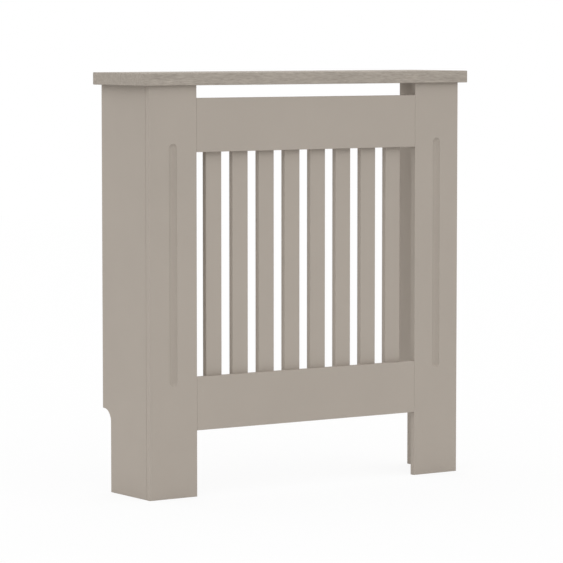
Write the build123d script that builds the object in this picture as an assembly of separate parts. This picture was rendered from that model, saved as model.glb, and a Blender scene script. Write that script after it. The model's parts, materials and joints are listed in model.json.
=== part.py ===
from build123d import *
import os

# Radiator cover cabinet of painted boards, open at the back and at the bottom. Millimetres.
# X runs along the front, Y from the front to the wall, Z up from the floor.
# The origin is on the floor, under the middle of the top board.

# Overall size
height = 820.0
top_width = 774.0
top_depth = 188.0
end_overhang = 17.0
front_overhang = 10.0
rear_overhang = 4.0

# Board thicknesses, and the board left beyond a hole that stops inside it
top_thickness = 24.0
side_thickness = 18.0
frame_thickness = 12.0
slat_thickness = 12.0
blind_wall = 4.0

# Front frame: two rails between two stiles
stile_width = 108.0
rail_height = 104.0
air_slot_height = 24.5
floor_opening_height = 129.0

# Slats, lapped behind both rails
slat_width = 36.5
slat_gap = 25.0
slat_lap = 40.0

# Flute down the middle of each stile, cut with a ball-nosed cutter
flute_width = 18.2
flute_depth = 4.8
flute_foot_z = 217.0
flute_head_drop = 111.0

# Cut-out in the rear foot of each side panel, clear of the skirting board
skirting_height = 163.5
skirting_depth = 30.0
skirting_corner_radius = 25.0

# Eased edges, and the bevel that leaves a V-groove between a side panel and its stile
top_easing = 1.5
board_easing = 0.8
slat_easing = 1.5
side_bevel = 1.6

# Cam-lock fittings: a drum in the side panel pulls on a bolt in the board it carries
drum_diameter = 15.0
drum_setback = 34.0
drive_length = 8.0
drive_width = 1.6
drive_depth = 2.4
claw_clearance = 0.4
bolt_bore_diameter = 8.0
bolt_head_diameter = 7.0
bolt_head_length = 3.5
bolt_neck_diameter = 4.8
bolt_shank_diameter = 7.0
bolt_thread_diameter = 5.0
top_thread_length = 11.0

# Places of the fittings along the joints
top_cam_inset = 44.0
top_dowel_inset = 14.0
stile_cam_inset = 96.0
stile_dowel_offset = 32.0
rail_dowel_inset = 22.0

# Dowels
board_dowel_diameter = 8.0
board_dowel_length = 30.0
top_dowel_depth = 12.0
rail_dowel_diameter = 6.0
rail_dowel_length = 30.0
dowel_end_gap = 1.0

# Countersunk screws with cross recesses
slat_screw_diameter = 3.5
slat_screw_head_diameter = 7.0
bracket_screw_diameter = 4.0
bracket_screw_head_diameter = 7.5
screw_tip_length = 3.0
screw_tip_diameter = 1.0
screw_recess_length = 4.2
screw_recess_width = 1.0
screw_recess_depth = 1.4

# Steel angle brackets that tie the cabinet to the wall
bracket_leg = 40.0
bracket_width = 18.0
bracket_thickness = 2.0
bracket_bend_radius = 1.0
bracket_corner_radius = 3.0
bracket_hole_diameter = 5.0
bracket_hole_insets = (14.0, 30.0)

# Planes and levels that several pieces share
wall_y = top_depth / 2
side_back_y = wall_y - rear_overhang
face_y = front_overhang - top_depth / 2
frame_back_y = face_y + frame_thickness
frame_middle_y = face_y + frame_thickness / 2
slat_back_y = frame_back_y + slat_thickness
outer_x = top_width / 2 - end_overhang
inner_x = outer_x - side_thickness
side_middle_x = outer_x - side_thickness / 2
opening_x = outer_x - stile_width
board_top_z = height - top_thickness
rail_zs = {
    "upper": (board_top_z - air_slot_height - rail_height, board_top_z - air_slot_height),
    "lower": (floor_opening_height, floor_opening_height + rail_height),
}
slat_zs = (rail_zs["lower"][1] - slat_lap, rail_zs["upper"][0] + slat_lap)
slat_screw_zs = {"upper": slat_zs[1] - slat_lap / 2, "lower": slat_zs[0] + slat_lap / 2}
bracket_z = sum(rail_zs["upper"]) / 2

# Radius of the cutter that leaves a flute of this width at this depth
flute_radius = (flute_width ** 2 / 4 + flute_depth ** 2) / (2 * flute_depth)

# Slats: as many as fit between the stiles, centred
slat_pitch = slat_width + slat_gap
slat_count = int((2 * opening_x - slat_gap) // slat_pitch)
slat_xs = [(i - (slat_count - 1) / 2) * slat_pitch for i in range(slat_count)]

# Fittings: lengths set by the boards they go into, and places along the joints
drum_length = side_thickness - blind_wall
bolt_neck_length = drum_diameter / 2 + claw_clearance
stile_thread_length = frame_thickness - blind_wall
stile_dowel_depth = frame_thickness - blind_wall
slat_screw_length = slat_thickness + frame_thickness - blind_wall
slat_screw = (slat_screw_diameter, slat_screw_head_diameter, slat_screw_length)
bracket_screw_length = bracket_thickness + side_thickness - blind_wall
bracket_screw = (bracket_screw_diameter, bracket_screw_head_diameter, bracket_screw_length)
top_cam_ys = (frame_back_y + top_cam_inset, side_back_y - top_cam_inset)
top_dowel_ys = (frame_back_y + top_dowel_inset, side_back_y - top_dowel_inset)
stile_cam_zs = (stile_cam_inset, board_top_z / 2, board_top_z - stile_cam_inset)
stile_dowel_zs = (stile_cam_zs[0] + stile_dowel_offset, stile_cam_zs[2] - stile_dowel_offset)

SIDES = {"left": -1, "right": 1}
UP, TO_FRONT = (0, 0, 1), (0, -1, 0)
FROM_ITS_FOOT = (Align.CENTER, Align.CENTER, Align.MIN)


def block(xs, ys, zs):
    """Box between two values on each axis, given in either order."""
    spans = [sorted(pair) for pair in (xs, ys, zs)]
    middle = [(low + high) / 2 for low, high in spans]
    return Pos(*middle) * Box(*[high - low for low, high in spans])


def rod(line, diameter, start, end):
    """Cylinder on a plane's axis, between two distances along it."""
    return line * Pos(0, 0, start) * Cylinder(diameter / 2, end - start, align=FROM_ITS_FOOT)


def taper(line, start_diameter, end_diameter, start, end):
    """Cone on a plane's axis, between two distances along it."""
    shape = Cone(start_diameter / 2, end_diameter / 2, end - start, align=FROM_ITS_FOOT)
    return line * Pos(0, 0, start) * shape


def cross(line, length, width, depth):
    """Cross-shaped driver recess, sunk along a plane's axis."""
    return line * extrude(Rectangle(length, width) + Rectangle(width, length), depth)


# Joint lines: each is a plane on a joint, and its axis points out of one board into the next


def top_cam_joints(sign):
    return [Plane((sign * side_middle_x, y, board_top_z), z_dir=UP) for y in top_cam_ys]


def top_dowel_joints(sign):
    return [Plane((sign * side_middle_x, y, board_top_z), z_dir=UP) for y in top_dowel_ys]


def stile_cam_joints(sign):
    return [Plane((sign * side_middle_x, frame_back_y, z), z_dir=TO_FRONT) for z in stile_cam_zs]


def stile_dowel_joints(sign):
    return [Plane((sign * side_middle_x, frame_back_y, z), z_dir=TO_FRONT) for z in stile_dowel_zs]


def rail_dowel_joints(name, sign):
    low, high = rail_zs[name]
    heights = (low + rail_dowel_inset, high - rail_dowel_inset)
    return [Plane((sign * opening_x, frame_middle_y, z), z_dir=(sign, 0, 0)) for z in heights]


def drum_line(sign, joint):
    """Axis of a cam joint's drum, from the side panel's inner face into the panel."""
    centre = joint.origin - joint.z_dir * drum_setback
    return Plane((sign * inner_x, centre.Y, centre.Z), z_dir=(sign, 0, 0))


# Screw lines: each is a plane on a screw's flat head, and its axis points at the tip


def slat_screw_line(name, x):
    return Plane((x, slat_back_y, slat_screw_zs[name]), z_dir=TO_FRONT)


def bracket_screw_lines(sign):
    face_x = sign * (inner_x - bracket_thickness)
    places = [wall_y - inset for inset in bracket_hole_insets]
    return [Plane((face_x, y, bracket_z), z_dir=(sign, 0, 0)) for y in places]


# Fittings


def dowel_hole(joint, diameter, reach):
    """Hole for one end of a dowel. A negative reach is the end behind the joint."""
    depth = abs(reach) + dowel_end_gap
    return rod(joint, diameter, 0, depth) if reach > 0 else rod(joint, diameter, -depth, 0)


def screw_body(line, size):
    """Shank and ninety-degree countersunk head, which is also the shape of the screw's hole."""
    diameter, head_diameter, length = size
    tip_start = length - screw_tip_length
    body = rod(line, diameter, 0, tip_start)
    body += taper(line, diameter, screw_tip_diameter, tip_start, length)
    return body + taper(line, head_diameter, diameter, 0, (head_diameter - diameter) / 2)


def screw(line, size):
    recess = cross(line, screw_recess_length, screw_recess_width, screw_recess_depth)
    return screw_body(line, size) - recess


def cam_bolt(joint, thread_length):
    """Connecting bolt: thread in the carried board, then shank, neck, and head in the drum."""
    neck_end = bolt_neck_length - drum_setback
    head_end = -drum_setback - bolt_head_length
    bolt = rod(joint, bolt_thread_diameter, 0, thread_length)
    bolt += rod(joint, bolt_shank_diameter, neck_end, 0)
    bolt += rod(joint, bolt_neck_diameter, -drum_setback, neck_end)
    return bolt + rod(joint, bolt_head_diameter, head_end, -drum_setback)


def cam_drum(sign, joint):
    """Drum whose claw holds the bolt's head by its neck, with a mouth on the far side."""
    line = drum_line(sign, joint)
    reach = drum_diameter / 2
    drum = rod(line, drum_diameter, 0, drum_length)
    drum -= rod(joint, bolt_neck_diameter + 2 * claw_clearance, -drum_setback, reach - drum_setback)
    drum -= rod(joint, bolt_head_diameter + 2 * claw_clearance, -drum_setback - reach, -drum_setback)
    return drum - cross(line, drive_length, drive_width, drive_depth)


def wall_bracket(sign):
    """Steel angle: one leg screwed to the side panel, the other flush with the cabinet's back."""
    leg, sheet = bracket_leg, bracket_thickness
    bend = Polyline((0, 0), (leg, 0), (leg, sheet), (sheet, sheet), (sheet, leg), (0, leg), close=True)
    outline = make_face(bend)
    outline = fillet(outline.vertices().sort_by_distance((0, 0))[0], bracket_bend_radius + sheet)
    outline = fillet(outline.vertices().sort_by_distance((sheet, sheet))[0], bracket_bend_radius)
    angle = extrude(outline, bracket_width / 2, both=True)
    wall_end = angle.faces().sort_by(Axis.X)[-1].edges().filter_by(Axis.Y)
    panel_end = angle.faces().sort_by(Axis.Y)[-1].edges().filter_by(Axis.X)
    angle = fillet(wall_end + panel_end, bracket_corner_radius)
    angle = Plane((sign * inner_x, wall_y, bracket_z), x_dir=(-sign, 0, 0), z_dir=(0, 0, sign)) * angle
    for inset in bracket_hole_insets:
        hole = Plane((sign * (inner_x - inset), wall_y, bracket_z), z_dir=TO_FRONT)
        angle -= rod(hole, bracket_hole_diameter, 0, sheet)
    for line in bracket_screw_lines(sign):
        angle -= screw_body(line, bracket_screw)
    return angle


# Boards


def eased(board, axis):
    """Board with the edges of both its broad faces, which the axis crosses, rounded over."""
    faces = board.faces().sort_by(axis)
    return fillet(faces[0].edges() + faces[-1].edges(), board_easing)


def top_board():
    board = block((-top_width / 2, top_width / 2), (-wall_y, wall_y), (board_top_z, height))
    board = fillet(board.edges(), top_easing)
    for sign in SIDES.values():
        for joint in top_cam_joints(sign):
            board -= rod(joint, bolt_thread_diameter, 0, top_thread_length)
        for joint in top_dowel_joints(sign):
            board -= dowel_hole(joint, board_dowel_diameter, top_dowel_depth)
    return board


def skirting_cut():
    """Outline of the skirting cut-out, seen along X, run out past the panel's back and foot."""
    ys = (side_back_y - skirting_depth, side_back_y + skirting_corner_radius)
    zs = (-skirting_corner_radius, skirting_height)
    outline = Pos(sum(ys) / 2, sum(zs) / 2) * Rectangle(ys[1] - ys[0], zs[1] - zs[0])
    inner_top_corner = outline.vertices().group_by(Axis.X)[0].sort_by(Axis.Y)[-1]
    return fillet(inner_top_corner, skirting_corner_radius)


def side_panel(sign):
    depth = side_back_y - frame_back_y
    outline = Pos(frame_back_y + depth / 2, board_top_z / 2) * Rectangle(depth, board_top_z)
    low_x = min(sign * inner_x, sign * outer_x)
    board = extrude(Plane.YZ.offset(low_x) * (outline - skirting_cut()), side_thickness)
    outer_front = (sign * outer_x, frame_back_y, board_top_z / 2)
    board = chamfer(board.edges().sort_by_distance(outer_front)[0], side_bevel)
    board = eased(board, Axis.X)
    for joint in top_cam_joints(sign) + stile_cam_joints(sign):
        board -= rod(joint, bolt_bore_diameter, -drum_setback, 0)
        board -= rod(drum_line(sign, joint), drum_diameter, 0, drum_length)
    for joint in top_dowel_joints(sign):
        board -= dowel_hole(joint, board_dowel_diameter, top_dowel_depth - board_dowel_length)
    for joint in stile_dowel_joints(sign):
        board -= dowel_hole(joint, board_dowel_diameter, stile_dowel_depth - board_dowel_length)
    for line in bracket_screw_lines(sign):
        board -= screw_body(line, bracket_screw)
    return board


def flute(sign):
    """Space swept by the ball-nosed cutter down the front of a stile."""
    centre_y = face_y + flute_depth - flute_radius
    line = Plane((sign * (opening_x + stile_width / 2), centre_y, 0), z_dir=UP)
    foot_z = flute_foot_z + flute_width / 2
    head_z = board_top_z - flute_head_drop - flute_width / 2
    ends = [line * Pos(0, 0, z) * Sphere(flute_radius) for z in (foot_z, head_z)]
    return rod(line, 2 * flute_radius, foot_z, head_z) + ends


def stile(sign):
    board = block((sign * opening_x, sign * outer_x), (face_y, frame_back_y), (0, board_top_z))
    board = eased(board, Axis.Y) - flute(sign)
    for joint in stile_cam_joints(sign):
        board -= rod(joint, bolt_thread_diameter, 0, stile_thread_length)
    for joint in stile_dowel_joints(sign):
        board -= dowel_hole(joint, board_dowel_diameter, stile_dowel_depth)
    for name in rail_zs:
        for joint in rail_dowel_joints(name, sign):
            board -= dowel_hole(joint, rail_dowel_diameter, rail_dowel_length / 2)
    return board


def rail(name):
    board = block((-opening_x, opening_x), (face_y, frame_back_y), rail_zs[name])
    board = eased(board, Axis.Y)
    for sign in SIDES.values():
        for joint in rail_dowel_joints(name, sign):
            board -= dowel_hole(joint, rail_dowel_diameter, -rail_dowel_length / 2)
    for x in slat_xs:
        board -= screw_body(slat_screw_line(name, x), slat_screw)
    return board


def slat(x):
    board = block((x - slat_width / 2, x + slat_width / 2), (frame_back_y, slat_back_y), slat_zs)
    board = fillet(board.edges().filter_by(Axis.Z), slat_easing)
    for name in rail_zs:
        board -= screw_body(slat_screw_line(name, x), slat_screw)
    return board


def dowels(joints, diameter, length, reach):
    """Dowels that each go reach past their joint, with the rest of their length behind it."""
    return [rod(joint, diameter, reach - length, reach) for joint in joints]


def rail_pieces(name):
    joints = [joint for sign in SIDES.values() for joint in rail_dowel_joints(name, sign)]
    half = rail_dowel_length / 2
    return {
        f"{name}_rail": [rail(name)],
        f"{name}_rail_dowels": dowels(joints, rail_dowel_diameter, rail_dowel_length, half),
        f"{name}_slat_screws": [screw(slat_screw_line(name, x), slat_screw) for x in slat_xs],
    }


def side_pieces(side, sign):
    top_cams, top_pins = top_cam_joints(sign), top_dowel_joints(sign)
    stile_cams, stile_pins = stile_cam_joints(sign), stile_dowel_joints(sign)
    pin = (board_dowel_diameter, board_dowel_length)
    return {
        f"{side}_side_panel": [side_panel(sign)],
        f"{side}_stile": [stile(sign)],
        f"{side}_top_dowels": dowels(top_pins, *pin, top_dowel_depth),
        f"{side}_stile_dowels": dowels(stile_pins, *pin, stile_dowel_depth),
        f"{side}_top_cam_bolts": [cam_bolt(joint, top_thread_length) for joint in top_cams],
        f"{side}_stile_cam_bolts": [cam_bolt(joint, stile_thread_length) for joint in stile_cams],
        f"{side}_top_cam_drums": [cam_drum(sign, joint) for joint in top_cams],
        f"{side}_stile_cam_drums": [cam_drum(sign, joint) for joint in stile_cams],
        f"{side}_wall_bracket": [wall_bracket(sign)],
        f"{side}_bracket_screws": [screw(line, bracket_screw) for line in bracket_screw_lines(sign)],
    }


def main():
    os.makedirs("parts", exist_ok=True)
    pieces = {"top_board": [top_board()]}
    for name in rail_zs:
        pieces.update(rail_pieces(name))
    for number, x in enumerate(slat_xs, start=1):
        pieces[f"slat_{number}"] = [slat(x)]
    for side, sign in SIDES.items():
        pieces.update(side_pieces(side, sign))
    for name, solids in pieces.items():
        shape = Compound(children=solids) if len(solids) > 1 else solids[0]
        shape.label = name
        export_step(shape, f"parts/{name}.step")


main()
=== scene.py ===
import json
from math import cos, sin

import bpy
from mathutils import Matrix, Vector

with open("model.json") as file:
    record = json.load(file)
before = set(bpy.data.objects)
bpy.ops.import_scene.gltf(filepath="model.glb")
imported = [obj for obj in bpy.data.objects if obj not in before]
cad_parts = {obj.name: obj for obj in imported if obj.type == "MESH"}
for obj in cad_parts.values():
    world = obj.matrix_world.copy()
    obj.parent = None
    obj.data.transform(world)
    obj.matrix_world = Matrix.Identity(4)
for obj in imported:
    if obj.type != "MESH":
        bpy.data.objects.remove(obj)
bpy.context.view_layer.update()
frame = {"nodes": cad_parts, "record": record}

# Everything below is in metres, in the part's own frame: X along the front, Y towards the
# wall, Z up from the floor. Colours are linear. A noise scale is about its cells per metre.

# Camera: place, turn to the right and tilt down in radians, and picture size
CAMERA_PLACE = Vector((-3.509797, -5.115252, 0.891939))
CAMERA_TURN = 0.600448
CAMERA_TILT = 0.078965
FOCAL_LENGTH_PX = 3114.09
PICTURE_WIDTH_PX = 563
SENSOR_WIDTH_MM = 36.0

# Floor, and the share of its lit surface that the camera sees, where the rest is plain white
FLOOR_COLOUR = (0.80, 0.80, 0.80)
FLOOR_RADIUS = 9.0
FLOOR_SIDES = 96
FLOOR_SHADOW = 0.12

# Light from the horizon, from the dome's brightest ring and from overhead. The ring's height
# is the sine of its elevation.
HORIZON_STRENGTH = 0.1
DOME_STRENGTH = 1.72
DOME_HEIGHT = 0.4
ZENITH_STRENGTH = 0.86
WHITE = (1.0, 1.0, 1.0)

# Nearly all of a noise lies within this much of one half
NOISE_REACH = 0.2

# Paint, with the swing of its roughness from place to place
PANEL_PAINT = (0.397, 0.353, 0.308)
TOP_PAINT = (0.362, 0.323, 0.280)
PAINT_ROUGHNESS = 0.56
PAINT_ROUGHNESS_SWING = 0.04
PAINT_SHEEN_SCALE = 30.0
PAINT_SHINE = 0.05

# Its uneven shade, in broad clouds and fine specks, and the orange peel left by spraying
CLOUD_SCALE = 7.0
CLOUD_SWING = 0.015
SPECK_SCALE = 1400.0
SPECK_SWING = 0.012
PEEL_SCALE = 420.0
PEEL_DEPTH = 0.00006
BUMP_STRENGTH = 0.5

# Embossed grain, long in X, and how much of the orange peel shows over it
FIBRE_SCALES = (65.0, 460.0, 460.0)
RING_SCALES = (9.0, 110.0, 110.0)
FIBRE_SHARE = 0.7
GRAIN_REACH = 0.16
GRAIN_SWING = 0.2
GRAIN_DEPTH = 0.00012
PEEL_OVER_GRAIN = 0.3

# Beech. Its flecks start where their noise passes one level and are darkest at the next.
BEECH_COLOUR = (0.60, 0.42, 0.255)
BEECH_PORE_SCALE = 900.0
BEECH_SHADE = 0.99
BEECH_SHADE_SWING = 0.11
BEECH_ROUGHNESS = 0.635
BEECH_ROUGHNESS_SWING = 0.085
FLECK_SCALE = 500.0
FLECK_SHADE = 0.72
FLECK_LEVELS = (0.62, 0.7)

# Metals, mottled by their finish and scuffed
ZINC_ALLOY = dict(colour=(0.50, 0.50, 0.51), roughness=0.48, mottle_scale=700.0, mottle_swing=0.10)
PLATED_STEEL = dict(colour=(0.64, 0.65, 0.67), roughness=0.33, mottle_scale=260.0, mottle_swing=0.06)
SCUFF_SCALES = (300.0, 300.0, 2200.0)
SCUFF_SWING = 0.07


class Tree:
    """A material's or world's node tree, with short calls for adding and joining nodes."""

    def __init__(self, owner):
        owner.use_nodes = True
        self.tree = owner.node_tree
        self.tree.nodes.clear()

    def add(self, kind, values=None, **settings):
        """A node with its settings, and with each input linked to a socket or set to a value."""
        node = self.tree.nodes.new(kind)
        for name, value in settings.items():
            setattr(node, name, value)
        for name, value in (values or {}).items():
            if isinstance(value, bpy.types.NodeSocket):
                self.tree.links.new(value, node.inputs[name])
            else:
                node.inputs[name].default_value = value
        return node

    def noise(self, vector, scale=1.0, detail=2.0, roughness=0.5, distortion=0.0):
        values = {"Vector": vector, "Scale": scale, "Detail": detail,
                  "Roughness": roughness, "Distortion": distortion}
        return self.add("ShaderNodeTexNoise", values).outputs["Fac"]

    def stretched(self, vector, scales):
        """Coordinates scaled per axis, so that a pattern runs long where the scale is small."""
        node = self.add("ShaderNodeVectorMath", {0: vector, 1: scales}, operation="MULTIPLY")
        return node.outputs[0]

    def spread(self, value, low, high, start, end):
        """Value between start and end, spread over low to high and held there."""
        values = {"Value": value, "From Min": start, "From Max": end, "To Min": low, "To Max": high}
        return self.add("ShaderNodeMapRange", values).outputs["Result"]

    def around(self, middle, swing, noise, reach=NOISE_REACH):
        """A value that a noise swings both ways from its middle."""
        return self.spread(noise, middle - swing, middle + swing, 0.5 - reach, 0.5 + reach)

    def sum(self, *terms):
        total = terms[0]
        for term in terms[1:]:
            total = self.add("ShaderNodeMath", {0: total, 1: term}, operation="ADD").outputs[0]
        return total

    def product(self, a, b):
        return self.add("ShaderNodeMath", {0: a, 1: b}, operation="MULTIPLY").outputs[0]

    def tinted(self, colour, factor):
        """A colour multiplied by a varying grey factor."""
        node = self.add("ShaderNodeVectorMath", {0: colour, "Scale": factor}, operation="SCALE")
        return node.outputs[0]

    def mixed(self, share, base, cover):
        """The base shader with a share of it given over to the cover."""
        values = {0: share, 1: base.outputs[0], 2: cover.outputs[0]}
        return self.add("ShaderNodeMixShader", values)


def colour4(rgb):
    return (*rgb, 1.0)


# Materials


def new_material(name):
    """A material, its node tree, and the coordinates of the pieces that wear it."""
    material = bpy.data.materials.new(name)
    tree = Tree(material)
    return material, tree, tree.add("ShaderNodeTexCoord").outputs["Object"]


def set_surface(tree, shader):
    tree.add("ShaderNodeOutputMaterial", {"Surface": shader.outputs[0]})


def paint_material(name, colour, grain):
    """Low-sheen sprayed paint on fibreboard, over an embossed grain along X where it has one."""
    material, tree, where = new_material(name)
    clouds = tree.around(1.0, CLOUD_SWING, tree.noise(where, CLOUD_SCALE, detail=3.0))
    specks = tree.around(1.0, SPECK_SWING, tree.noise(where, SPECK_SCALE, detail=1.0))
    shade = tree.product(clouds, specks)
    peel = tree.noise(where, PEEL_SCALE, roughness=0.4)
    relief, relief_depth = peel, PEEL_DEPTH
    if grain:
        fibres = tree.noise(tree.stretched(where, FIBRE_SCALES),
                            detail=3.0, roughness=0.6, distortion=0.5)
        rings = tree.noise(tree.stretched(where, RING_SCALES),
                           detail=3.0, roughness=0.6, distortion=0.9)
        streaks = tree.sum(tree.product(fibres, FIBRE_SHARE),
                           tree.product(rings, 1.0 - FIBRE_SHARE))
        shade = tree.product(shade, tree.around(1.0, GRAIN_SWING, streaks, GRAIN_REACH))
        relief, relief_depth = tree.sum(tree.product(peel, PEEL_OVER_GRAIN), fibres), GRAIN_DEPTH
    bump = tree.add("ShaderNodeBump", {
        "Height": relief,
        "Strength": BUMP_STRENGTH,
        "Distance": relief_depth,
    })
    sheen = tree.noise(where, PAINT_SHEEN_SCALE, detail=3.0)
    set_surface(tree, tree.add("ShaderNodeBsdfPrincipled", {
        "Base Color": tree.tinted(colour, shade),
        "Roughness": tree.around(PAINT_ROUGHNESS, PAINT_ROUGHNESS_SWING, sheen),
        "Specular IOR Level": PAINT_SHINE,
        "Normal": bump.outputs["Normal"],
    }))
    return material


def beech_material():
    """Bare turned beech: fine pores with darker flecks, alike whichever way a dowel runs."""
    material, tree, where = new_material("beech")
    pores = tree.noise(where, BEECH_PORE_SCALE, detail=3.0, roughness=0.6)
    spots = tree.noise(where, FLECK_SCALE, detail=1.0)
    flecks = tree.spread(spots, 1.0, FLECK_SHADE, *FLECK_LEVELS)
    shade = tree.product(tree.around(BEECH_SHADE, BEECH_SHADE_SWING, pores), flecks)
    set_surface(tree, tree.add("ShaderNodeBsdfPrincipled", {
        "Base Color": tree.tinted(BEECH_COLOUR, shade),
        "Roughness": tree.around(BEECH_ROUGHNESS, BEECH_ROUGHNESS_SWING, pores),
    }))
    return material


def metal_material(name, colour, roughness, mottle_scale, mottle_swing):
    """Plated or die-cast metal, mottled by its finish, with fine level scuffs."""
    material, tree, where = new_material(name)
    spots = tree.noise(where, mottle_scale, detail=3.0, roughness=0.6)
    scuffs = tree.noise(tree.stretched(where, SCUFF_SCALES))
    set_surface(tree, tree.add("ShaderNodeBsdfPrincipled", {
        "Base Color": tree.tinted(colour, tree.around(1.0, mottle_swing, spots)),
        "Metallic": 1.0,
        "Roughness": tree.around(roughness, SCUFF_SWING, scuffs),
    }))
    return material


def dress_nodes():
    """Gives each CAD node the material that its slot in the record stands for."""
    finishes = {
        "painted_mdf": paint_material("panel_paint", PANEL_PAINT, grain=False),
        "top_board_paint": paint_material("top_paint", TOP_PAINT, grain=True),
        "dowel_wood": beech_material(),
        "zinc_alloy": metal_material("zinc_alloy", **ZINC_ALLOY),
        "plated_steel": metal_material("plated_steel", **PLATED_STEEL),
    }
    for row in frame["record"]["subparts"]:
        for slot in frame["nodes"][row["node"]].material_slots:
            slot.material = finishes[row["material_slot"]]


# Studio


def seen_directly(tree):
    """One for what the camera, a mirror or glass sees, and zero for light on the object."""
    path = tree.add("ShaderNodeLightPath")
    rays = ("Is Camera Ray", "Is Glossy Ray", "Is Transmission Ray")
    return tree.sum(*[path.outputs[ray] for ray in rays])


def make_floor():
    """Pale floor that the camera sees as white, with the object's shadow left on it."""
    bpy.ops.mesh.primitive_circle_add(vertices=FLOOR_SIDES, radius=FLOOR_RADIUS, fill_type="NGON")
    floor = bpy.context.object
    floor.name = "floor"
    material = bpy.data.materials.new("floor")
    tree = Tree(material)
    lit = tree.add("ShaderNodeBsdfDiffuse", {"Color": colour4(FLOOR_COLOUR)})
    white = tree.add("ShaderNodeEmission", {"Color": colour4(WHITE), "Strength": 1.0})
    share = tree.product(seen_directly(tree), 1.0 - FLOOR_SHADOW)
    set_surface(tree, tree.mixed(share, lit, white))
    floor.data.materials.append(material)


def make_world():
    """White surroundings, whose light on the object is a soft dome."""
    world = bpy.data.worlds.new("studio")
    tree = Tree(world)
    direction = tree.add("ShaderNodeTexCoord").outputs["Generated"]
    height = tree.add("ShaderNodeSeparateXYZ", {0: direction}).outputs["Z"]
    rise = tree.spread(height, HORIZON_STRENGTH, DOME_STRENGTH, 0.0, DOME_HEIGHT)
    fall = tree.spread(height, 0.0, ZENITH_STRENGTH - DOME_STRENGTH, DOME_HEIGHT, 1.0)
    strength = tree.sum(rise, fall)
    dome = tree.add("ShaderNodeBackground", {"Color": colour4(WHITE), "Strength": strength})
    white = tree.add("ShaderNodeBackground", {"Color": colour4(WHITE), "Strength": 1.0})
    surroundings = tree.mixed(seen_directly(tree), dome, white)
    tree.add("ShaderNodeOutputWorld", {"Surface": surroundings.outputs[0]})
    bpy.context.scene.world = world


def make_camera():
    """Camera with the photograph's place, direction and frame."""
    ahead = cos(CAMERA_TILT)
    forward = Vector((sin(CAMERA_TURN) * ahead, cos(CAMERA_TURN) * ahead, -sin(CAMERA_TILT)))
    right = Vector((cos(CAMERA_TURN), -sin(CAMERA_TURN), 0.0))
    up = right.cross(forward)
    data = bpy.data.cameras.new("camera")
    data.sensor_width = SENSOR_WIDTH_MM
    data.lens = SENSOR_WIDTH_MM * FOCAL_LENGTH_PX / PICTURE_WIDTH_PX
    camera = bpy.data.objects.new("camera", data)
    turn = Matrix((right, up, -forward)).transposed().to_4x4()
    camera.matrix_world = Matrix.Translation(CAMERA_PLACE) @ turn
    bpy.context.scene.collection.objects.link(camera)
    bpy.context.scene.camera = camera


dress_nodes()
make_floor()
make_world()
make_camera()
bpy.context.scene.view_settings.view_transform = "Standard"
